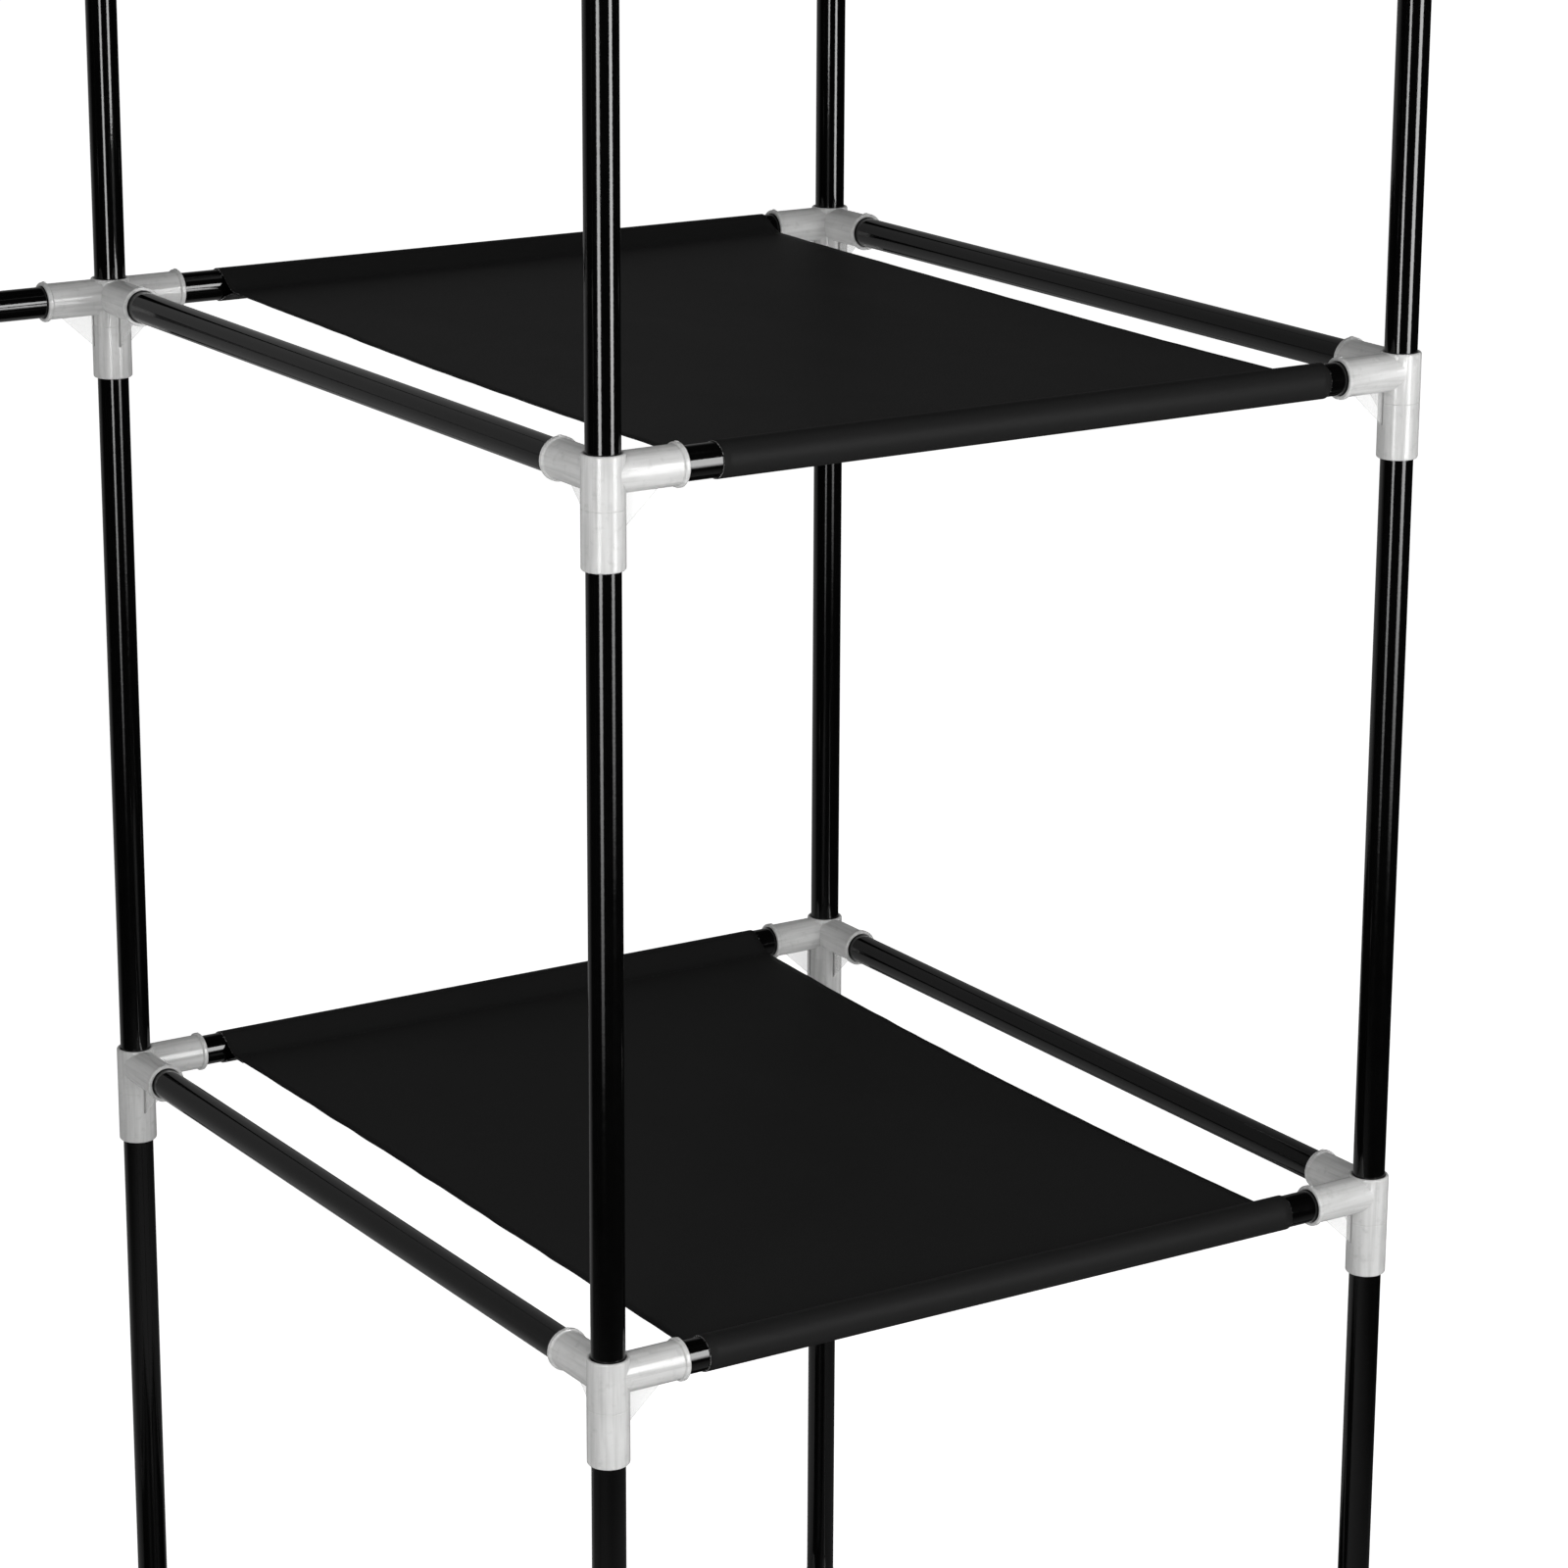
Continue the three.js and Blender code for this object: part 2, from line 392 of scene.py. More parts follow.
class NodeBench:
    """The node tree of a material, a world or a lamp, filled from left to right in rows."""

    row_length = 8
    spacing = (220, -320)

    def __init__(self, owner: bpy.types.Material | bpy.types.World | bpy.types.Light) -> None:
        """Starts on the owner's node tree, emptied first.

        Args:
            owner: The material, the world or the lamp's light.
        """
        owner.use_nodes = True
        self.owner = owner
        self.tree = owner.node_tree
        self.tree.nodes.clear()

    def feed(self, end: Socket, value: Value) -> None:
        """Links an output to an input, or sets the input to a plain value.

        Args:
            end: The input.
            value: A plain value or another node's output.
        """
        if isinstance(value, Socket):
            self.tree.links.new(value, end)
        else:
            end.default_value = value

    def add(
        self, kind: str, feeds: dict[str | int, Value] | None = None, **settings: object
    ) -> bpy.types.Node:
        """Adds a node.

        Args:
            kind: The node's type without the ShaderNode prefix.
            feeds: What its inputs take by name or number, plain values or other nodes' outputs.
            **settings: Properties of the node by name.

        Returns:
            The new node.
        """
        row, column = divmod(len(self.tree.nodes), self.row_length)
        node = self.tree.nodes.new("ShaderNode" + kind)
        node.location = (column * self.spacing[0], row * self.spacing[1])
        for name, value in settings.items():
            setattr(node, name, value)
        for name, value in (feeds or {}).items():
            self.feed(node.inputs[name], value)
        return node

    def spread(self, source: Socket, span: Span, onto: Span) -> Socket:
        """Maps one span of a value onto another, held at its ends.

        Args:
            source: The value.
            span: The span that is read.
            onto: The span that it becomes.

        Returns:
            The mapped value.
        """
        ends = dict(zip(("From Min", "From Max", "To Min", "To Max"), (*span, *onto)))
        return self.add("MapRange", {"Value": source, **ends}).outputs["Result"]

    def noise(self, source: Socket, grain: Grain, onto: Span = FULL) -> Socket:
        """Adds a noise pattern.

        Args:
            source: The coordinates that it reads.
            grain: The pattern.
            onto: What its span of values becomes, where it has one.

        Returns:
            The pattern's value.
        """
        feeds = {"Vector": source, "Scale": grain.scale, "Detail": grain.detail, "Roughness": grain.roughness}
        value = self.add("TexNoise", feeds).outputs["Fac"]
        return self.spread(value, grain.span, onto) if grain.span else value

    def blend(self, share: Socket, below: Value, over: Value) -> Socket:
        """Mixes two colours by a value from 0 to 1.

        Args:
            share: How much of the second colour shows.
            below: The first colour.
            over: The second colour.

        Returns:
            The colour.
        """
        node = self.add("Mix", {"Factor": share}, data_type="RGBA")
        ends = [end for end in node.inputs if end.type == "RGBA"]
        self.feed(ends[0], below)
        self.feed(ends[1], over)
        return next(end for end in node.outputs if end.type == "RGBA")

    def blend_shaders(self, share: Socket, below: Socket, over: Socket) -> Socket:
        """Mixes two shaders by a value from 0 to 1."""
        return self.add("MixShader", {"Fac": share, 1: below, 2: over}).outputs["Shader"]

    def relief(self, height: Socket, depth: float, strength: float = 1.0, **under: Socket) -> Socket:
        """Adds a bump.

        Args:
            height: The height pattern, from 0 to 1.
            depth: The height of a full step, in metres.
            strength: How much of it shows.
            **under: The Normal of a bump that this one lies on, where there is one.

        Returns:
            The bumped normal.
        """
        feeds = {"Height": height, "Distance": depth, "Strength": strength, **under}
        return self.add("Bump", feeds).outputs["Normal"]

    def surface(self, **feeds: Value) -> bpy.types.Material:
        """Adds the surface shader and the output, which finishes the material.

        Args:
            **feeds: What the shader's inputs take, with spaces in their names written as underscores.

        Returns:
            The material.
        """
        shader = self.add("BsdfPrincipled", {name.replace("_", " "): value for name, value in feeds.items()})
        self.add("OutputMaterial", {"Surface": shader.outputs["BSDF"]})
        return self.owner


@dataclass(frozen=True)
class BlackEnamel:
    """Glossy black enamel on thin steel tube, with a fine orange peel that breaks up its highlights."""

    name: str
    peel_depth: float
    tones: Span = (0.0004, 0.0012)
    clouds: Grain = Grain(55.0, 3.0)
    gloss: Span = (0.06, 0.12)
    wear: Grain = Grain(300.0, 3.0, 0.6, (0.2, 0.8))
    peel: Grain = Grain(900.0, 1.5, 0.45)
    flow: Grain = Grain(240.0)
    flow_depth: float = 0.000008

    def material(self) -> bpy.types.Material:
        """Builds the material.

        Returns:
            The finished material.
        """
        bench = NodeBench(bpy.data.materials.new(self.name))
        place = bench.add("TexCoord").outputs["Object"]
        flow = bench.relief(bench.noise(place, self.flow), self.flow_depth)
        return bench.surface(
            Base_Color=bench.blend(bench.noise(place, self.clouds), *map(grey, self.tones)),
            Roughness=bench.noise(place, self.wear, self.gloss), Specular_IOR_Level=0.6, IOR=1.5,
            Normal=bench.relief(bench.noise(place, self.peel), self.peel_depth, Normal=flow))


@dataclass(frozen=True)
class MilkyPlastic:
    """Milky translucent moulded plastic, clearer where it is thin, with faint flow marks, smudges, and
    lengthwise bands of painted shade.
    """

    thin_mark: str = "thin"
    yellow: float = 0.005
    tones: Span = (0.58, 0.70)
    clouds: Grain = Grain(45.0, 5.0, 0.6, (0.15, 0.85))
    # The lengthwise bands are painted shade along the moulding; their pattern is also used for a faint bump.
    shade_band_tone: float = 0.38
    shade_band_cover: float = 0.5
    shade_band_span: Span = (0.42, 0.72)
    band_stretch: Triple = (1.0, 0.05, 1.0)
    bands: Grain = Grain(420.0, 3.0, 0.6)
    band_depth: float = 0.00003
    smudge_tone: float = 0.33
    smudge_cover: float = 0.55
    smudges: Grain = Grain(230.0, 4.0, 0.6, (0.56, 0.86))
    thin_tone: float = 0.62
    thin_alpha: float = 0.28
    scatter: float = 0.3
    scatter_reach: float = 0.0012
    transmission: float = 0.12
    gloss: Span = (0.13, 0.24)
    scuffs: Grain = Grain(90.0, 3.0, 0.6, (0.2, 0.8))
    ripple: Grain = Grain(70.0, 2.0, 0.4)
    ripple_depth: float = 0.00002

    def material(self) -> bpy.types.Material:
        """Builds the material.

        Returns:
            The finished material.
        """
        bench = NodeBench(bpy.data.materials.new("milky_plastic"))
        coords = bench.add("TexCoord").outputs
        place = coords["Object"]
        drawn = bench.add("VectorMath", {0: coords["UV"], 1: self.band_stretch}, operation="MULTIPLY")
        bands = bench.noise(drawn.outputs["Vector"], self.bands)
        thin = bench.add("Attribute", attribute_name=self.thin_mark).outputs["Fac"]
        ends = [grey(tone, self.yellow) for tone in self.tones]
        colour = bench.blend(bench.noise(place, self.clouds), *ends)
        # The first cover is painted shade: darker lengthwise stripes along each sleeve and socket.
        for cover, tone in (
            (bench.spread(bands, self.shade_band_span, (0.0, self.shade_band_cover)), self.shade_band_tone),
            (bench.noise(place, self.smudges, (0.0, self.smudge_cover)), self.smudge_tone),
            (thin, self.thin_tone),
        ):
            colour = bench.blend(cover, colour, grey(tone, self.yellow))
        ripple = bench.relief(bench.noise(place, self.ripple), self.ripple_depth)
        return bench.surface(
            Base_Color=colour, Alpha=bench.spread(thin, FULL, (1.0, self.thin_alpha)),
            Subsurface_Weight=bench.spread(thin, FULL, (self.scatter, 0.0)),
            Subsurface_Scale=self.scatter_reach, Subsurface_Radius=(1.0, 1.0, 0.98),
            Transmission_Weight=bench.spread(thin, FULL, (self.transmission, 0.0)),
            Roughness=bench.noise(place, self.scuffs, self.gloss), Specular_IOR_Level=0.55, IOR=1.5,
            Normal=bench.relief(bands, self.band_depth, Normal=ripple))


@dataclass(frozen=True)
class BlackCloth:
    """Smooth tight black cloth with a fine plain weave that follows the cloth, and a faint sheen."""

    tones: Span = (0.0110, 0.0136)
    patches: Grain = Grain(9.0, 4.0, 0.55)
    gloss: Span = (0.44, 0.56)
    fuzz: Grain = Grain(1500.0, 2.0, 0.6, (0.3, 0.7))
    thread_pitch: float = 0.00042
    thread_waver: float = 0.6
    weave_depth: float = 0.000012
    ripple: Grain = Grain(38.0, 3.0, 0.5)
    ripple_depth: float = 0.00035
    ripple_strength: float = 0.35

    def material(self) -> bpy.types.Material:
        """Builds the material.

        Returns:
            The finished material.
        """
        bench = NodeBench(bpy.data.materials.new("black_cloth"))
        coords = bench.add("TexCoord").outputs
        cloth, place = coords["UV"], coords["Object"]
        # A wave pattern turns through twenty radians in a metre at scale 1
        feeds = {"Vector": cloth, "Scale": math.tau / (self.thread_pitch * 20),
                 "Distortion": self.thread_waver, "Detail Scale": 2.0}
        across, along = (
            bench.add("TexWave", feeds, wave_type="BANDS", bands_direction=axis, wave_profile="SIN")
            for axis in "XY")
        weave = bench.add("Math", {0: across.outputs["Fac"], 1: along.outputs["Fac"]}, operation="MAXIMUM")
        soft = bench.relief(bench.noise(cloth, self.ripple), self.ripple_depth, self.ripple_strength)
        return bench.surface(
            Base_Color=bench.blend(bench.noise(place, self.patches), *map(grey, self.tones)),
            Roughness=bench.noise(cloth, self.fuzz, self.gloss), Specular_IOR_Level=0.06, IOR=1.5,
            Normal=bench.relief(weave.outputs["Value"], self.weave_depth, Normal=soft))


@dataclass(frozen=True)
class Fibre:
    """Fibres with a fine change of tone: sewing thread, a raw edge or the pale fluff along a cut."""

    name: str
    tones: Span
    scale: float
    span: Span = (0.3, 0.7)
    roughness: float = 0.7
    sheen: float = 0.1

    def material(self) -> bpy.types.Material:
        """Builds the material.

        Returns:
            The finished material.
        """
        bench = NodeBench(bpy.data.materials.new(self.name))
        specks = bench.noise(bench.add("TexCoord").outputs["Object"], Grain(self.scale, 3.0, 0.7, self.span))
        return bench.surface(Base_Color=bench.blend(specks, *map(grey, self.tones)),
                             Roughness=self.roughness, Specular_IOR_Level=self.sheen)


@dataclass(frozen=True)
class Surroundings:
    """What is around the object: white where it is seen, and dark in front in its own reflections."""

    ambient: float = 0.32
    ahead: float = 0.011
    behind: float = 0.25
    floor_tone: float = 0.8
    floor_glow: float = 0.785
    floor_ahead: Span = (0.28, 0.01)
    floor_reach: Span = (0.4, 1.3)
    floor_behind: float = 0.25
    turn_over: Span = (0.57, 0.90)

    def floor(self) -> bpy.types.Material:
        """Builds a white floor that keeps the object's shadow, and that is dimmer in reflections.

        Returns:
            The floor's material.
        """
        bench = NodeBench(bpy.data.materials.new("studio_white"))
        path = bench.add("LightPath").outputs
        place = bench.add("TexCoord").outputs["Object"]
        matt = bench.add("BsdfDiffuse", {"Color": grey(self.floor_tone)}).outputs["BSDF"]
        glow = bench.add("Emission", {"Strength": self.floor_glow}).outputs["Emission"]
        seen = bench.add("AddShader", {0: matt, 1: glow}).outputs["Shader"]
        away = bench.add("VectorMath", {0: place}, operation="LENGTH").outputs["Value"]
        fading = bench.spread(away, self.floor_reach, self.floor_ahead)
        dim = bench.add("BsdfDiffuse", {"Color": fading}).outputs["BSDF"]
        backlit = bench.add("Emission", {"Strength": self.floor_behind}).outputs["Emission"]
        mirrored = bench.blend_shaders(self._shade(bench, place, FULL), dim, backlit)
        lit = bench.blend_shaders(path["Is Diffuse Ray"], seen, matt)
        both = bench.blend_shaders(path["Is Glossy Ray"], lit, mirrored)
        bench.add("OutputMaterial", {"Surface": both})
        return bench.owner

    def world(self) -> bpy.types.World:
        """Builds the world, white where it is seen.

        Returns:
            The finished world.
        """
        bench = NodeBench(bpy.data.worlds.new("studio_world"))
        path = bench.add("LightPath").outputs
        feeds = {0: path["Is Camera Ray"], 1: path["Is Transmission Ray"]}
        seen = bench.add("Math", feeds, operation="MAXIMUM").outputs["Value"]
        feeds = {
            "Factor": path["Is Glossy Ray"],
            "A": bench.spread(seen, FULL, (self.ambient, 1.0)),
            "B": self._shade(bench, bench.add("TexCoord").outputs["Generated"], (self.ahead, self.behind)),
        }
        level = bench.add("Mix", feeds, data_type="FLOAT").outputs["Result"]
        shade = bench.add("Background", {"Color": grey(1.0), "Strength": level})
        bench.add("OutputWorld", {"Surface": shade.outputs["Background"]})
        return bench.owner

    def _shade(self, bench: NodeBench, place: Socket, onto: Span) -> Socket:
        """Adds a value that turns over from the front of the surroundings to their back.

        Args:
            bench: The node tree to fill.
            place: A place or a direction, from the origin.
            onto: The value in front of the object and beside it, and straight behind it.

        Returns:
            The value.
        """
        direction = bench.add("VectorMath", {0: place}, operation="NORMALIZE").outputs["Vector"]
        parts = bench.add("SeparateXYZ", {"Vector": direction}).outputs
        return bench.spread(parts["Y"], self.turn_over, onto)


# Places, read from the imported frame


@dataclass(frozen=True)
class Layout:
    """Where the posts' axes and the tubes' levels are."""

    columns: dict[str, float]
    rows: dict[str, float]
    levels: dict[str, float]

    @staticmethod
    def middle(node: str) -> Vector:
        """Gives the middle of a node's box."""
        low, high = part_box(node)
        return (low + high) / 2

    @classmethod
    def from_frame(cls) -> "Layout":
        """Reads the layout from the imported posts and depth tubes.

        Returns:
            The layout.
        """
        return cls(
            columns={name: cls.middle(f"{name}_front_post").x for name in ("left", "middle", "right")},
            rows={name: cls.middle(f"middle_{name}_post").y for name in ("front", "back")},
            levels={name: cls.middle(f"right_{name}_depth_tube").z
                    for name in ("bottom", "lower", "upper", "top")},
        )


# The steel


@dataclass(frozen=True)
class SteelTubes:
    """The straight enamelled tubes: posts, tubes across and along the depth, and the hanging rail."""

    radius: float = 0.0075
    wall: float = 0.0008
    end_round: float = 0.00018
    sides: int = 56
    rim_angle: float = 1.0
    crisp_angle: float = 18.0
    peel_depth: float = 0.000014
    smooth_peel_depth: float = 0.000004

    def build(self) -> None:
        """Makes a tube for each packed one, from one pattern for each length."""
        coat = BlackEnamel("black_enamel", self.peel_depth).material()
        smooth_coat = BlackEnamel("black_enamel_smooth", self.smooth_peel_depth).material()
        turns = {Run.ACROSS: quarter(1, "Y"), Run.DEEP: quarter(1, "X"), Run.UPRIGHT: UNTURNED}
        patterns: dict[float, Thing] = {}
        for node in sorted(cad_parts):
            if not node.endswith(("_post", "_tube", "_rail")):
                continue
            low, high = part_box(node)
            size = high - low
            run = Run(list(size).index(max(size)))
            length = round(max(size), 5)
            if length not in patterns:
                patterns[length] = self._model(max(size))
            place = Matrix.Translation(Layout.middle(node))
            tube = placed_copy(patterns[length], f"enamelled_{node}", place @ turns[run])
            finish_piece(tube, smooth_coat if run is Run.DEEP else coat, node)
        discard(*patterns.values())

    def _model(self, length: float) -> Thing:
        """Models one upright tube.

        Args:
            length: The tube's length.

        Returns:
            The tube about the origin, open at both ends, with rounded rims.
        """
        tube = circle("tube_pattern", self.sides, self.radius, -length / 2)
        with editing(tube):
            bpy.ops.mesh.extrude_region_move(TRANSFORM_OT_translate={"value": (0, 0, length)})
            face_outwards()
        apply_modifier(tube, "SOLIDIFY", thickness=self.wall, offset=-1.0, use_even_offset=True)
        with editing(tube):
            choose_edges(tube, lambda edge: edge.is_manifold and edge.calc_face_angle() > self.rim_angle)
            bpy.ops.mesh.bevel(offset=self.end_round, segments=2, affect="EDGES")
            face_outwards()
        smooth(tube, self.crisp_angle)
        return tube


# The moulded connectors


@dataclass(frozen=True)
class Connectors:
    """The milky connectors that hold the tubes, and the two brackets that hold the rail."""

    layout: Layout
    bore: float = 0.0078
    flare: float = 0.0004
    past: float = 0.001
    socket: float = 0.0087
    socket_start: float = 0.001
    reach: float = 0.036
    floor: float = 0.0105
    lip: float = 0.0096
    lip_width: float = 0.0025
    lip_chamfer: float = 0.0004
    sleeve: float = 0.0094
    sleeve_chamfer: float = 0.0005
    rim: float = 0.0089
    cap: float = 0.0100
    cap_wall: float = 0.0025
    drop: float = 0.0396
    mark_drop: float = 0.0140
    mark_width: float = 0.00045
    mark_depth: float = 0.00016
    web_thickness: float = 0.0011
    web_run: float = 0.0180
    web_fall: float = 0.0165
    web_root: float = 0.0003
    web_round: float = 0.000242
    nub_size: Triple = (0.0013, 0.0020, 0.0011)
    nub_rise: float = 0.00035
    nub_round: float = 0.00028
    bracket_half: float = 0.015
    bracket_chamfer: Span = (0.0006, 0.0002)
    edge_round: float = 0.00035
    seam_round: float = 0.0007
    seam_angle: float = 0.5
    crisp_angle: float = 38.0
    sides: int = 56

    def build(self) -> None:
        """Makes every connector and bracket, each copied from the moulding that it is."""
        plastic = MilkyPlastic().material()
        mouldings: dict[tuple, Thing] = {}
        for node in sorted(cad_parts):
            column, *rest = node.split("_")
            if node.endswith("_connector"):
                kind, place = self._connector(column, *rest[:2])
            elif node.endswith("_bracket"):
                kind, place = (), self._at(column, 0, "top", Way.RIGHT if column == "left" else Way.LEFT)
            else:
                continue
            if kind not in mouldings:
                mouldings[kind] = self._model_connector(*kind) if kind else self._model_bracket()
            piece = placed_copy(mouldings[kind], f"moulded_{node}", place)
            finish_piece(piece, plastic, node)
        discard(*mouldings.values())

    def _at(self, column: str, depth: float, level: str, turn: Way) -> Matrix:
        """Gives a place on the frame, turned by quarters about the upright."""
        place = (self.layout.columns[column], depth, self.layout.levels[level])
        return Matrix.Translation(place) @ quarter(turn)

    def _connector(self, column: str, row: str, level: str) -> tuple[tuple, Matrix]:
        """Finds a connector's kind and place, from the tubes that the frame has there.

        Args:
            column: The post's column.
            row: The post's row.
            level: The level's name.

        Returns:
            The ways of its sockets with its closed end, and its place, turned to its tubes.
        """
        bays = {"left": {Way.RIGHT: "left"}, "middle": {Way.LEFT: "left", Way.RIGHT: "right"},
                "right": {Way.LEFT: "right"}}
        needed = {Way.BACK if row == "front" else Way.FRONT}
        for way, bay in bays[column].items():
            if f"{bay}_bay_{row}_{level}_tube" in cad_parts:
                needed.add(way)
        ways = {1: (Way.BACK,), 2: (Way.RIGHT, Way.BACK), 3: (Way.RIGHT, Way.BACK, Way.LEFT)}[len(needed)]
        turn = next(turn for turn in Way if {(way + turn) % 4 for way in ways} == needed)
        return (ways, Closed.at(level)), self._at(column, self.layout.rows[row], level, turn)

    def _model_connector(self, ways: tuple[Way, ...], closed: Closed) -> Thing:
        """Models one connector: sleeve, sockets and webs, joined and then bored.

        Args:
            ways: Where its sockets point.
            closed: Which end of its sleeve is closed.

        Returns:
            The moulding about its post's axis, with its sockets at the origin's height.
        """
        top = self.cap if closed is Closed.ABOVE else self.rim
        body = self._model_sleeve(top)
        for way in ways:
            combine(body, self._model_socket(), "UNION", quarter(way))
            combine(body, self._model_web(), "UNION", quarter(way))
        self._round_seams(body)
        low = -self.drop + (self.cap_wall if closed is Closed.BELOW else 0)
        high = top - (self.cap_wall if closed is Closed.ABOVE else 0)
        combine(body, self._model_bore(low, high, closed), "DIFFERENCE")
        self._finish_moulding(body, ways)
        self._mark_webs(body, ways)
        return body

    def _model_bracket(self) -> Thing:
        """Models the bracket that sits on a depth tube and holds one end of the rail.

        Returns:
            The moulding about the depth tube's middle, with its socket to the right.
        """
        half, (inwards, along) = self.bracket_half, self.bracket_chamfer
        outline = [(self.lip - inwards, -half), (self.lip, -half + along), (self.lip, half - along),
                   (self.lip - inwards, half)]
        body = turned("bracket_pattern", rounded(outline, self.edge_round), self.sides)
        body.data.transform(quarter(1, "X"))
        combine(body, self._model_socket(), "UNION")
        self._round_seams(body)
        combine(body, self._model_bore(-half, half, Closed.NEITHER), "DIFFERENCE", quarter(1, "X"))
        self._finish_moulding(body, (Way.RIGHT,))
        return body

    def _model_sleeve(self, top: float) -> Thing:
        """Models the upright sleeve, with the fine mould line below its sockets.

        Args:
            top: The height of its upper end above the sockets' axes.

        Returns:
            The solid sleeve.
        """
        line, width, depth = -self.mark_drop, self.mark_width / 2, self.mark_depth
        r, chamfer = self.sleeve, self.sleeve_chamfer
        outline = [(r - chamfer, -self.drop), (r, -self.drop + chamfer), (r, line - width),
                   (r - depth, line - width / 2), (r - depth, line + width / 2), (r, line + width),
                   (r, top - chamfer), (r - chamfer, top)]
        return turned("connector_pattern", rounded(outline, self.edge_round), self.sides)

    def _model_socket(self) -> Thing:
        """Models a socket that points to the right, with the thin raised lip at its mouth and its nub.

        Returns:
            The solid socket.
        """
        start, chamfer = self.reach - self.lip_width, self.lip_chamfer
        outline = [(self.socket, self.socket_start), (self.socket, start), (self.lip, start + chamfer),
                   (self.lip, self.reach - chamfer), (self.lip - chamfer, self.reach)]
        socket = turned("socket", rounded(outline, self.edge_round), self.sides)
        socket.data.transform(quarter(1, "Y"))
        height = self.lip - self.nub_size[2] / 2 + self.nub_rise
        nub = primitive(bpy.ops.mesh.primitive_cube_add, "nub", self.nub_size, size=1,
                        location=(self.reach - self.lip_width / 2, 0, height))
        with editing(nub):
            bpy.ops.mesh.bevel(offset=self.nub_round, segments=3, affect="EDGES")
        combine(socket, nub, "UNION")
        return socket

    def _model_web(self) -> Thing:
        """Models the thin triangle under the socket that points to the right, a block cut on the slant.

        Returns:
            The solid web, with the edges of its two sides rounded.
        """
        inner, outer = self.bore + self.web_root, self.socket + self.web_run
        top, low = -self.bore - self.web_root, -self.socket - self.web_fall
        size = (outer - inner, self.web_thickness, top - low)
        web = primitive(bpy.ops.mesh.primitive_cube_add, "web", size, size=1,
                        location=((inner + outer) / 2, 0, (top + low) / 2))
        slope = Vector((outer - self.sleeve, 0, -self.socket - low))
        on_one_side = self.web_thickness * 0.9
        with editing(web):
            bpy.ops.mesh.bisect(plane_co=(self.sleeve, 0, low), plane_no=(slope.z, 0, -slope.x),
                                use_fill=True, clear_outer=True)
            choose_edges(web, lambda edge: abs(sum(v.co.y for v in edge.verts)) > on_one_side)
            bpy.ops.mesh.bevel(offset=self.web_round, segments=2, affect="EDGES")
            face_outwards()
        return web

    def _model_bore(self, low: float, high: float, closed: Closed) -> Thing:
        """Models the cutter for a bore, which opens out a little at its open mouths.

        Args:
            low: The height of the lower end.
            high: The height of the upper end.
            closed: Which end is closed.

        Returns:
            The upright cutter.
        """
        wide, wider = self.bore + self.flare, self.bore + self.flare * 2
        below = [(wider, low - self.past), (wide, low), (self.bore, low + self.flare)]
        above = [(self.bore, high - self.flare), (wide, high), (wider, high + self.past)]
        if closed is Closed.BELOW:
            below = [(self.bore, low)]
        if closed is Closed.ABOVE:
            above = [(self.bore, high)]
        return turned("bore", below + above, self.sides)

    def _round_seams(self, body: Thing) -> None:
        """Rounds the inner corners where a socket runs into the sleeve.

        Args:
            body: The joined solid, before it is bored.
        """
        widest, lowest, merge = self.sleeve * 1.45, -self.sleeve * 1.1, 0.00002

        def is_seam(edge: bmesh.types.BMEdge) -> bool:
            """Says whether an edge is a hollow corner close to the post's axis.

            Args:
                edge: The edge.

            Returns:
                True where it is to be rounded.
            """
            middle = (edge.verts[0].co + edge.verts[1].co) / 2
            near = middle.xy.length < widest and middle.z > lowest
            return near and edge.is_manifold and edge.calc_face_angle_signed() <= -self.seam_angle

        with editing(body):
            bpy.ops.mesh.remove_doubles(threshold=merge)
            if choose_edges(body, is_seam):
                bpy.ops.mesh.bevel(offset=self.seam_round, segments=3, affect="EDGES", clamp_overlap=True)

    def _finish_moulding(self, body: Thing, ways: tuple[Way, ...]) -> None:
        """Bores a moulding's sockets, merges doubled points, and shades and unrolls it.

        Args:
            body: The moulding.
            ways: Where its sockets point.
        """
        merge = 0.00001
        for way in ways:
            bore = self._model_bore(self.floor, self.reach, Closed.BELOW)
            combine(body, bore, "DIFFERENCE", quarter(way) @ quarter(1, "Y"))
        with editing(body):
            bpy.ops.mesh.remove_doubles(threshold=merge)
            bpy.ops.mesh.dissolve_degenerate(threshold=merge)
        smooth(body, self.crisp_angle)
        apply_modifier(body, "WEIGHTED_NORMAL", keep_sharp=True, weight=60)
        self._unroll(body.data, [quarter(-way) for way in ways])

    def _unroll(self, mesh: bpy.types.Mesh, turns: list[Matrix]) -> None:
        """Gives a moulding coordinates of its own, round its sleeve or socket and along it, in metres.

        Args:
            mesh: The moulding's mesh.
            turns: For each socket, the turn that lays it along X.
        """
        upright = Matrix(((0, 0, 1), (1, 0, 0), (0, 1, 0)))
        for old in list(mesh.uv_layers):
            mesh.uv_layers.remove(old)
        layer = mesh.uv_layers.new(name="unrolled")
        for face in mesh.polygons:
            laid = next((turn for turn in turns if (turn @ face.center).x > self.sleeve), upright)
            centre = laid @ face.center
            middle = math.atan2(centre.z, centre.y)
            for loop in face.loop_indices:
                point = laid @ mesh.vertices[mesh.loops[loop].vertex_index].co
                angle = math.atan2(point.z, point.y)
                angle += round((middle - angle) / math.tau) * math.tau
                layer.data[loop].uv = (angle * self.sleeve, point.x)

    def _mark_webs(self, body: Thing, ways: tuple[Way, ...]) -> None:
        """Marks the webs' faces as thin, so that light passes through them more than through the rest.

        Args:
            body: The finished moulding.
            ways: Where its sockets point.
        """
        half, below = self.web_thickness * 0.6, -self.socket - 0.0001
        mark = body.data.attributes.new(MilkyPlastic.thin_mark, "FLOAT", "FACE")
        for face in body.data.polygons:
            spots = [quarter(-way) @ face.center for way in ways]
            if any(spot.x > self.sleeve and abs(spot.y) < half and spot.z < below for spot in spots):
                mark.data[face.index].value = 1.0


# The cloth


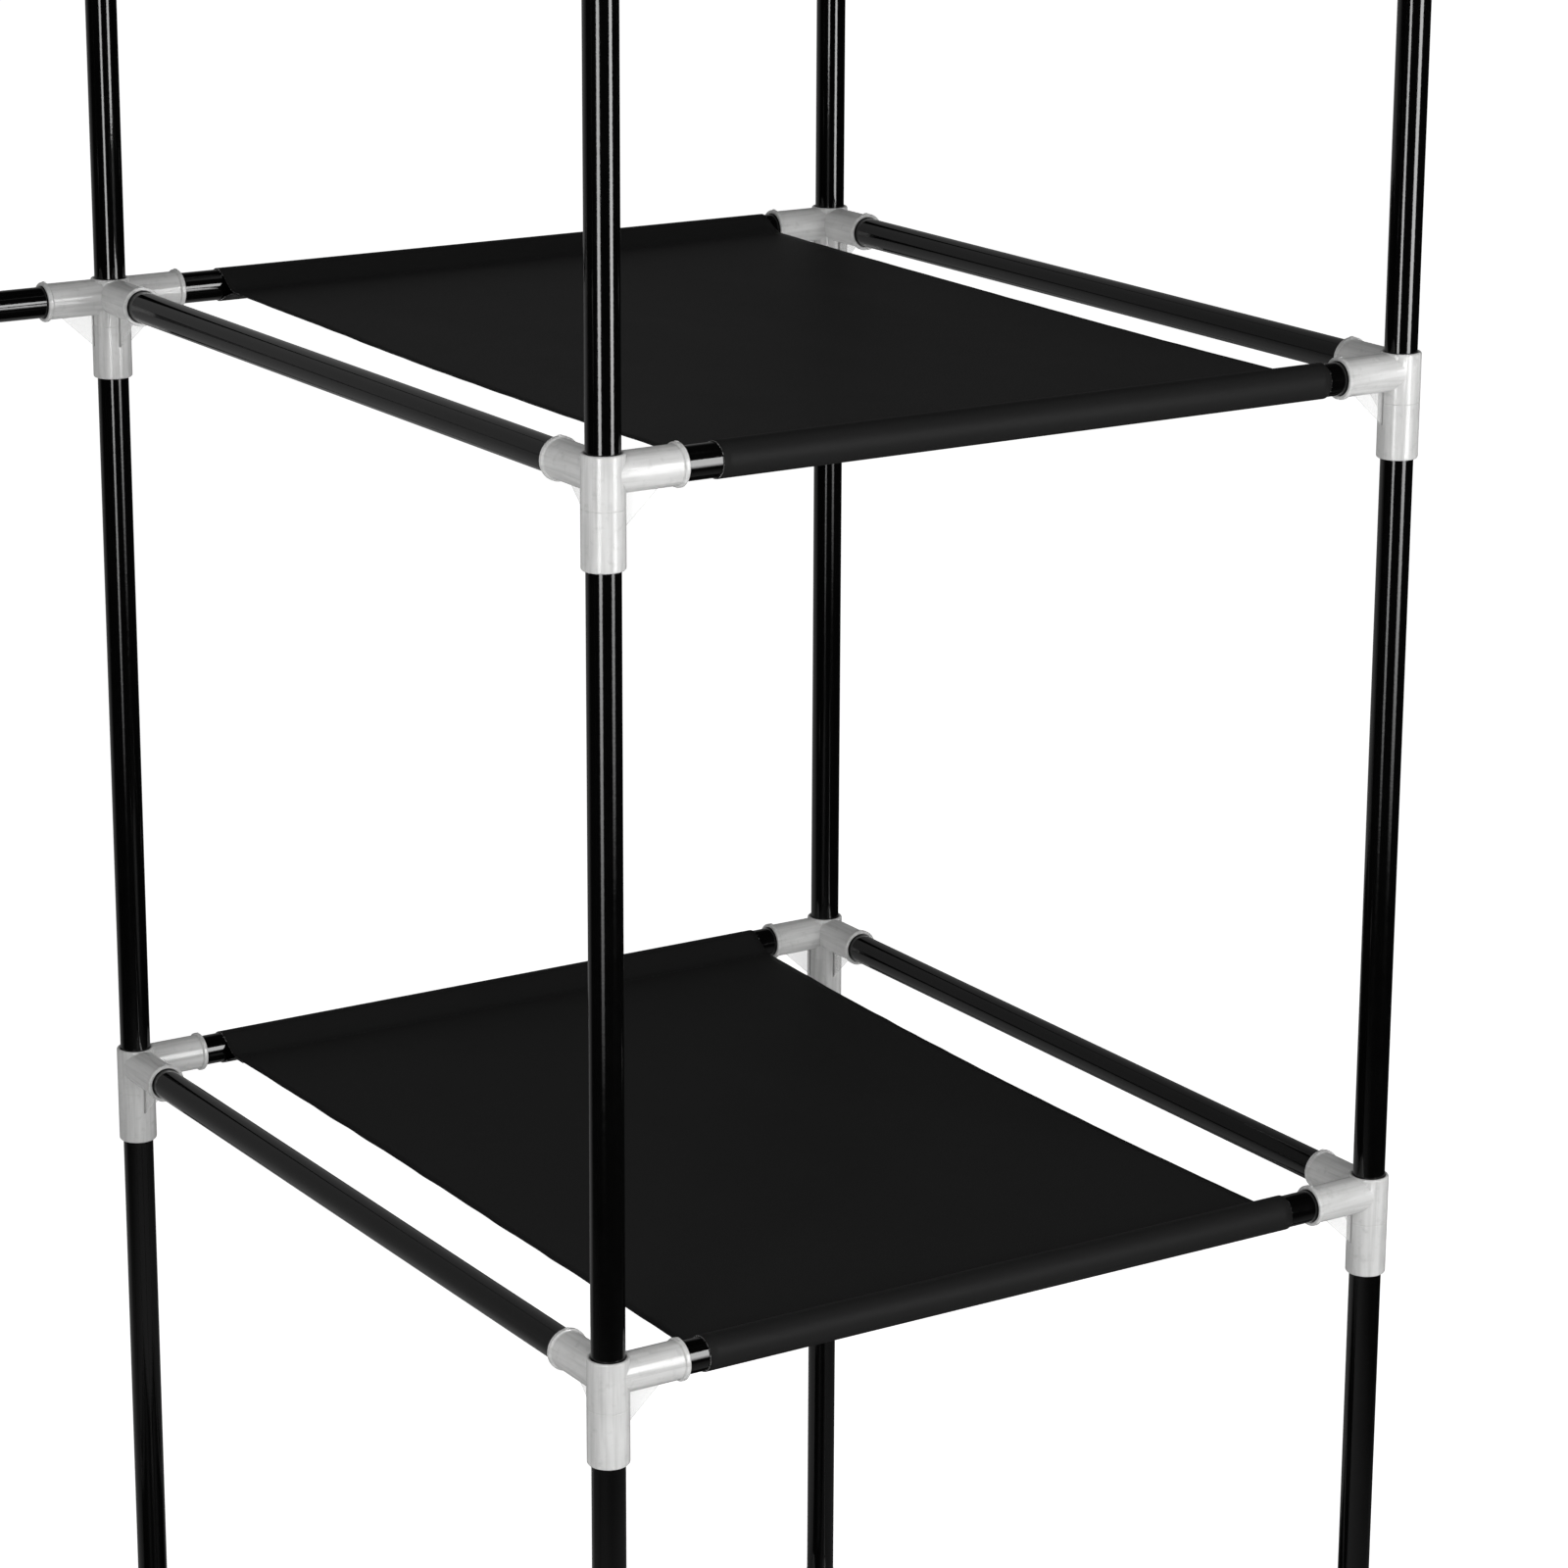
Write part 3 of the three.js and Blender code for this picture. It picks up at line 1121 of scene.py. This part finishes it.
@dataclass(frozen=True)
class ClothFinish:
    """The materials of a shelf: its cloth, its raw edge, its sewing thread and the fluff of its cuts."""

    cloth: bpy.types.Material
    edge: bpy.types.Material
    thread: bpy.types.Material
    fluff: bpy.types.Material


@dataclass(frozen=True)
class Hem:
    """One side of a shelf.

    The gaps are from the sockets' mouths to the ends of the front and the back sleeve, the waist is how
    far the side draws in between them, and the falls are how far the panel lies below the tubes' axes at
    its front seam, its middle and its back seam.
    """

    gaps: Span = (0.013, 0.013)
    waist: float = 0.003
    falls: Triple = (0.0015, 0.00325, 0.0)


@dataclass(frozen=True)
class ClothShelf:
    """One taut cloth shelf, a single panel with a sewn sleeve round its front and its back tube."""

    name: str
    middle: float
    height: float
    front: float
    back: float
    mouth: float
    left: Hem
    right: Hem
    seed: int
    thickness: float = 0.00055
    sleeve_radius: float = 0.0079
    sleeve_steps: int = 40
    seam_reach: float = 0.015
    flap: float = 0.009
    flap_shares: tuple[float, ...] = (1.0, 0.8, 0.6, 0.4, 0.2, 0.06)
    flap_gap: float = 0.00008
    rows: int = 60
    columns: int = 72
    longest_step: float = 0.0022
    longest_gap: float = 0.012
    pull: float = 0.0008
    pull_scale: Span = (13, 3)
    ripple: float = 0.00025
    ripple_scale: Span = (34, 9)
    ripple_chance: int = 5
    wave_onset: float = 6.0
    unevenness: float = 0.00045
    uneven_scale: Span = (55, 90)
    right_chance: int = 7
    stitch_size: Triple = (0.0024, 0.00045, 0.00036)
    stitch_pitch: float = 0.0034
    stitch_margin: float = 0.006
    stitch_reach: float = 0.0025
    stitch_lift: float = 0.00002
    stitch_angle: float = 80.0
    fluff_step: float = 0.0002
    fluff_foot: float = 0.0002
    fluff_lean: float = 0.5
    fluff_radii: Span = (0.00004, 0.00009)
    fluff_lengths: Span = (0.0001, 0.0007)

    def build(self, finish: ClothFinish) -> None:
        """Makes the cloth, its two rows of stitches and the fluff at its cut ends.

        Args:
            finish: The materials.
        """
        path = self._path()
        panel = self._sheet(path)
        finish_piece(panel, finish.cloth, self.name)
        panel.data.materials.append(finish.edge)
        for face, mark in zip(panel.data.polygons, panel.data.attributes["raw_edge"].data):
            face.material_index = 1 if mark.value else 0
        extras = [self._stitches("front", self.front + self.seam_reach + self.stitch_reach),
                  self._stitches("back", self.back - self.seam_reach - self.stitch_reach)]
        for row in extras:
            finish_piece(row, finish.thread)
        extras.append(self._fluff(path))
        finish_piece(extras[-1], finish.fluff)

    def _width(self) -> float:
        """Gives the cloth's width between its hems, halfway along its depth."""
        return 2 * self.mouth - sum(self.left.gaps + self.right.gaps) / 2

    def _share(self, y: float) -> float:
        """Gives how far along the panel a place is, 0 up to its front seam and 1 from its back seam."""
        start, end = self.front + self.seam_reach, self.back - self.seam_reach
        return clamped((y - start) / (end - start))

    def _panel_height(self, y: float, across: float = 0.5) -> float:
        """Gives the panel's height above the tubes' axes, with its sag.

        Args:
            y: The place along the depth.
            across: The place across the cloth, 0 at its left side and 1 at its right side.

        Returns:
            The height, mostly below zero.
        """
        front, middle, back = (a + (b - a) * across for a, b in zip(self.left.falls, self.right.falls))
        return -bowed(front, back, middle - (front + back) / 2, self._share(y))

    def _rise(self, x: float, across: float, y: float) -> float:
        """Gives how far the cloth lies above its middle line, by its twist and its waves.

        Args:
            x: The place along X, from the bay's middle.
            across: The place across the cloth, 0 at its left side and 1 at its right side.
            y: The place along the depth.

        Returns:
            The small rise or fall, none round the tubes.
        """
        share = self._share(y)
        (pull_x, pull_y), (ripple_x, ripple_y) = self.pull_scale, self.ripple_scale
        pull = noise.noise(Vector((x * pull_x + self.seed, y * pull_y, self.seed)))
        ripple = noise.noise(Vector((x * ripple_x, y * ripple_y, self.seed + self.ripple_chance)))
        onset = min(1.0, self.wave_onset * share * (1 - share))
        wave = onset * (self.pull * pull + self.ripple * ripple)
        inwards = min(y - self.front, self.back - y)
        hold = clamped((inwards - self.sleeve_radius) / (self.seam_reach - self.sleeve_radius))
        return wave + hold * (self._panel_height(y, across) - self._panel_height(y))

    def _side(self, y: float, height: float, right: bool) -> float:
        """Gives the place of a side of the cloth, drawn in along the panel and a little uneven.

        Args:
            y: The place along the depth.
            height: The height above the tubes' axes.
            right: Whether it is the right side.

        Returns:
            The place along X, from the bay's middle.
        """
        hem, outwards, chance = (self.right, 1, self.right_chance) if right else (self.left, -1, 0)
        gap = bowed(*hem.gaps, hem.waist, self._share(y))
        along, up = self.uneven_scale
        uneven = self.unevenness * noise.noise(Vector((y * along, height * up, self.seed + chance)))
        return outwards * (self.mouth - gap + uneven)

    def _sleeve(self, centre: float, tip: Vector, inwards: int) -> list[Vector]:
        """Gives the line of a sleeve over its tube, from the seam's underside to its top.

        Args:
            centre: The tube's place along the depth.
            tip: The seam's place along the depth, and its height.
            inwards: 1 where the panel lies behind the tube, or -1 before it.

        Returns:
            Points round the tube, as (depth, height).
        """
        radius = self.sleeve_radius
        to_tip = math.atan2(tip.y, tip.x - centre)
        spread = math.acos(radius / math.hypot(tip.x - centre, tip.y))
        sweep = 2 * (math.pi - spread)
        angles = [to_tip - inwards * (spread + sweep * step / self.sleeve_steps)
                  for step in range(self.sleeve_steps + 1)]
        return [Vector((centre + radius * math.cos(angle), radius * math.sin(angle))) for angle in angles]

    def _path(self) -> list[Vector]:
        """Gives the cloth's middle line from its front flap to its back flap, as (depth, height).

        Returns:
            Points a millimetre or so apart at the sleeves, and wider apart along the panel.
        """
        tips, ends = [], []
        for centre, inwards in ((self.front, 1), (self.back, -1)):
            seam = centre + inwards * self.seam_reach
            tip = Vector((seam, self._panel_height(seam)))
            flap = [tip.x + inwards * self.flap * share for share in self.flap_shares]
            under = self.thickness + self.flap_gap
            ends.append([Vector((y, self._panel_height(y) - under)) for y in flap]
                        + self._sleeve(centre, tip, inwards))
            tips.append(tip.x)
        places = [tips[0] + (tips[1] - tips[0]) * row / self.rows for row in range(self.rows + 1)]
        panel = [Vector((y, self._panel_height(y))) for y in places]
        return self._even(self._even(ends[0] + panel + ends[1][::-1]))

    def _even(self, line: list[Vector]) -> list[Vector]:
        """Fills wide gaps in a line and softens its corners.

        Args:
            line: The points.

        Returns:
            More points, with the same two ends.
        """
        dense = [line[0]]
        for a, b in zip(line, line[1:]):
            gap = (b - a).length
            parts = max(1, math.ceil(gap / self.longest_step)) if gap < self.longest_gap else 2
            dense += [a.lerp(b, part / parts) for part in range(1, parts + 1)]
        soft = [(a + b * 2 + c) / 4 for a, b, c in zip(dense, dense[1:], dense[2:])]
        return [dense[0], *soft, dense[-1]]

    def _sheet(self, path: list[Vector]) -> Thing:
        """Makes the cloth as one closed sheet with its thickness along the path.

        Args:
            path: The cloth's middle line, as (depth, height).

        Returns:
            The cloth, with coordinates of its own in metres and its raw edges marked.
        """
        work = bmesh.new()
        coordinates = work.loops.layers.uv.new("cloth")
        edge_mark = work.faces.layers.int.new("raw_edge")
        last, run, layers = len(path) - 1, [0.0], []
        for a, b in zip(path, path[1:]):
            run.append(run[-1] + (b - a).length)
        for side in (0.5, -0.5):
            rows = []
            for index, point in enumerate(path):
                along = path[min(index + 1, last)] - path[max(index - 1, 0)]
                left, right = (self._side(point.x, point.y, way) for way in (False, True))
                spot = point + Vector((-along.y, along.x)).normalized() * self.thickness * side
                row = []
                for share in (c / self.columns for c in range(self.columns + 1)):
                    x = left + (right - left) * share
                    z = self.height + spot.y + self._rise(x, share, point.x)
                    row.append(work.verts.new((self.middle + x, spot.x, z)))
                rows.append(row)
            layers.append(rows)
        outer, inner = layers
        width = self._width()

        def face(corners: list[tuple[list, int, int]], raw: bool) -> None:
            """Adds one face, with its place on the flat cloth.

            Args:
                corners: The layer, the row and the column of each corner.
                raw: Whether it is cut edge.
            """
            made = work.faces.new([rows[r][c] for rows, r, c in corners])
            made.smooth = not raw
            made[edge_mark] = int(raw)
            for loop, (_, r, c) in zip(made.loops, corners):
                loop[coordinates].uv = (width * c / self.columns, run[r])

        for r in range(last):
            for c in range(self.columns):
                face([(outer, r, c), (outer, r, c + 1), (outer, r + 1, c + 1), (outer, r + 1, c)], False)
                face([(inner, r, c), (inner, r + 1, c), (inner, r + 1, c + 1), (inner, r, c + 1)], False)
            for c, order in ((0, 1), (self.columns, -1)):
                face([(outer, r, c), (outer, r + 1, c), (inner, r + 1, c), (inner, r, c)][::order], True)
        for c in range(self.columns):
            face([(outer, 0, c), (inner, 0, c), (inner, 0, c + 1), (outer, 0, c + 1)], True)
            face([(outer, last, c), (outer, last, c + 1), (inner, last, c + 1), (inner, last, c)], True)
        bmesh.ops.recalc_face_normals(work, faces=work.faces)
        return mesh_piece(f"cloth_{self.name}", work)

    def _stitches(self, row: str, y: float) -> Thing:
        """Makes one row of stitches across the cloth, beside a seam.

        Args:
            row: The seam's row, front or back.
            y: The row's place along the depth.

        Returns:
            The stitches as one piece.
        """
        pitch = self.stitch_pitch
        left, right = (self._side(y, 0.0, way) for way in (False, True))
        low, high = (self._panel_height(y, across) for across in (0.0, 1.0))
        count = int((right - left - self.stitch_margin) / pitch)
        place = Vector((self.middle + (left + right) / 2, y,
                        self.height + (low + high) / 2 + self.thickness / 2 + self.stitch_lift))
        stitch = primitive(bpy.ops.mesh.primitive_uv_sphere_add, f"stitches_{row}_{self.name}",
                           self.stitch_size, segments=6, ring_count=4, radius=0.5)
        with editing(stitch):
            bpy.ops.transform.translate(value=(-pitch * (count - 1) / 2, 0, 0))
        apply_modifier(stitch, "ARRAY", count=count, use_relative_offset=False, use_constant_offset=True,
                       constant_offset_displace=(pitch, 0, 0))
        tilt = math.atan2(high - low, right - left)
        stitch.data.transform(Matrix.Translation(place) @ Matrix.Rotation(-tilt, 4, "Y"))
        smooth(stitch, self.stitch_angle)
        return stitch

    def _fluff(self, path: list[Vector]) -> Thing:
        """Makes the short fibres that stand out of the cut round each end of the sleeves.

        Args:
            path: The cloth's middle line, as (depth, height).

        Returns:
            The fibres as one piece, each a thin spike with three sides.
        """
        third = 2.0944
        chance = random.Random(self.seed)
        work = bmesh.new()
        for a, b in zip(path, path[1:]):
            if min(a.x - self.front, self.back - a.x) > self.sleeve_radius:
                continue
            for step in range(math.ceil((b - a).length / self.fluff_step)):
                spot = a.lerp(b, step * self.fluff_step / (b - a).length)
                for right, outwards in ((False, -1), (True, 1)):
                    side = self._side(spot.x, spot.y, right)
                    base = Vector((self.middle + side, spot.x, self.height + spot.y))
                    aside = [chance.gauss(0, self.fluff_lean) for _ in range(2)]
                    lean = Vector((outwards, *aside)).normalized()
                    across = lean.orthogonal().normalized() * chance.uniform(*self.fluff_radii)
                    foot = base - lean * self.fluff_foot
                    ring = [work.verts.new(foot + Matrix.Rotation(turn * third, 3, lean) @ across)
                            for turn in range(3)]
                    tip = work.verts.new(base + lean * chance.uniform(*self.fluff_lengths))
                    work.faces.new(ring[::-1])
                    for turn in range(3):
                        work.faces.new((ring[turn], ring[(turn + 1) % 3], tip))
        return mesh_piece(f"fluff_{self.name}", work)


@dataclass(frozen=True)
class ShelfSet:
    """The cloth shelves, with how each lies on its tubes at its left and its right side."""

    layout: Layout
    socket_reach: float = 0.036
    hems: tuple[tuple[str, Hem, Hem], ...] = (
        ("right_bay_bottom_shelf", Hem(), Hem()),
        ("right_bay_lower_shelf",
         Hem((0.0105, 0.0115), 0.0045, (0.0012, 0.0035, 0.0005)),
         Hem((0.0155, 0.0110), 0.0015, (0.0013, 0.0038, 0.0005))),
        ("right_bay_upper_shelf",
         Hem((0.0168, 0.0215), 0.0010, (0.0026, 0.0043, 0.0012)),
         Hem((0.0095, 0.0058), 0.0, (0.0003, 0.0010, -0.0005))),
        ("right_bay_top_shelf", Hem(), Hem()),
        ("left_bay_bottom_shelf", Hem(), Hem()),
    )

    def build(self) -> None:
        """Makes each shelf on its two tubes."""
        finish = ClothFinish(
            cloth=BlackCloth().material(),
            edge=Fibre("cut_edge", (0.008, 0.17), 1400.0, (0.5, 0.66), roughness=0.8).material(),
            thread=Fibre("black_thread", (0.005, 0.014), 2600.0, roughness=0.5, sheen=0.25).material(),
            fluff=Fibre("pale_fluff", (0.06, 0.75), 1100.0, (0.42, 0.6), roughness=0.8).material(),
        )
        columns, rows, levels = self.layout.columns, self.layout.rows, self.layout.levels
        mouth = (columns["right"] - columns["middle"]) / 2 - self.socket_reach
        for seed, (name, left, right) in enumerate(self.hems, 3):
            outer, _, level = name.split("_")[:3]
            ClothShelf(
                name=name, middle=(columns[outer] + columns["middle"]) / 2, height=levels[level],
                front=rows["front"], back=rows["back"], mouth=mouth, left=left, right=right, seed=seed,
            ).build(finish)


# The studio


def hang_lamp(name: str, size: Span, brightness: float, place: Triple, target: Triple) -> bpy.types.Light:
    """Hangs a soft rectangular lamp that the camera doesn't see.

    Args:
        name: The lamp's name.
        size: Its width and its height.
        brightness: How bright its face is, where 1 is white.
        place: Where it hangs.
        target: What it faces.

    Returns:
        The lamp's light.
    """
    light = bpy.data.lights.new(name, "AREA")
    light.shape = "RECTANGLE"
    light.size, light.size_y = size
    light.energy = math.pi * size[0] * size[1] * brightness
    lamp = put_in_scene(name, light)
    lamp.location = place
    lamp.rotation_euler = (Vector(target) - Vector(place)).to_track_quat("-Z", "Y").to_euler()
    lamp.visible_camera = False
    return light


@dataclass(frozen=True)
class StripLamp:
    """A tall soft strip lamp that stands beside the camera and fades out towards its foot."""

    name: str
    place: Span
    brightness: float
    foot: float
    width: float = 0.35
    head: float = 1.35
    fade: float = 0.36
    target: Span = (0.1, -0.1)

    def hang(self) -> None:
        """Hangs the lamp."""
        middle = (self.foot + self.head) / 2
        bench = NodeBench(hang_lamp(self.name, (self.width, self.head - self.foot), self.brightness,
                                    (*self.place, middle), (*self.target, middle)))
        face = bench.add("NewGeometry").outputs["Parametric"]
        height = bench.add("SeparateXYZ", {"Vector": face}).outputs["Y"]
        glow = bench.add("Emission", {"Strength": bench.spread(height, (0.0, self.fade), FULL)})
        bench.add("OutputLight", {"Surface": glow.outputs["Emission"]})


@dataclass(frozen=True)
class Studio:
    """A white floor, a white world, two strip lamps and a wide lamp overhead."""

    floor_side: float = 28.0
    floor_drop: float = 0.0002
    strips: tuple[StripLamp, ...] = (
        StripLamp("strip_left", (-0.843, -0.973), brightness=8.2, foot=0.16),
        StripLamp("strip_right", (0.713, -1.364), brightness=9.0, foot=0.24, width=0.47),
    )
    overhead_size: Span = (2.2, 1.6)
    overhead_brightness: float = 0.3
    overhead_place: Triple = (0.2, -0.6, 3.2)
    overhead_target: Triple = (0.1, 0.0, 0.8)

    def build(self) -> None:
        """Lays the floor, sets the world and hangs the lamps."""
        around = Surroundings()
        floor = primitive(bpy.ops.mesh.primitive_plane_add, "studio_floor", size=self.floor_side,
                          location=(0, 0, -self.floor_drop))
        floor.data.materials.append(around.floor())
        bpy.context.scene.world = around.world()
        bpy.context.scene.view_settings.view_transform = "Standard"
        for strip in self.strips:
            strip.hang()
        hang_lamp("overhead", self.overhead_size, self.overhead_brightness, self.overhead_place,
                  self.overhead_target)


@dataclass(frozen=True)
class Viewpoint:
    """The camera where the photograph was taken from, level with the upper shelves and to the left."""

    place: Triple = (-0.96108, -1.87490, 1.24428)
    lens: float = 110.2943
    sensor: float = 36.0
    yaw: float = 32.5927
    pitch: float = 15.3665
    roll: float = 0.2645
    shift_down: float = 0.04
    clip: Span = (0.05, 60.0)

    def build(self) -> None:
        """Sets up the camera."""
        yaw, pitch, roll = (math.radians(angle) for angle in (self.yaw, self.pitch, self.roll))
        forward = Vector((math.sin(yaw) * math.cos(pitch), math.cos(yaw) * math.cos(pitch), -math.sin(pitch)))
        level = Vector((math.cos(yaw), -math.sin(yaw), 0))
        upright = level.cross(forward)
        right = level * math.cos(roll) + upright * math.sin(roll)
        up = upright * math.cos(roll) - level * math.sin(roll)
        data = bpy.data.cameras.new("photograph")
        data.sensor_width, data.lens, data.shift_y = self.sensor, self.lens, -self.shift_down
        data.clip_start, data.clip_end = self.clip
        camera = put_in_scene("photograph", data)
        turn = Matrix((right, up, -forward)).transposed().to_4x4()
        camera.matrix_world = Matrix.Translation(self.place) @ turn
        bpy.context.scene.camera = camera


def main() -> None:
    """Builds the wardrobe, piece by piece, and its studio."""
    logging.basicConfig(level=logging.INFO, format="%(message)s")
    Viewpoint().build()
    layout = Layout.from_frame()
    SteelTubes().build()
    Connectors(layout).build()
    ShelfSet(layout).build()
    Studio().build()


if __name__ == "__main__":
    main()
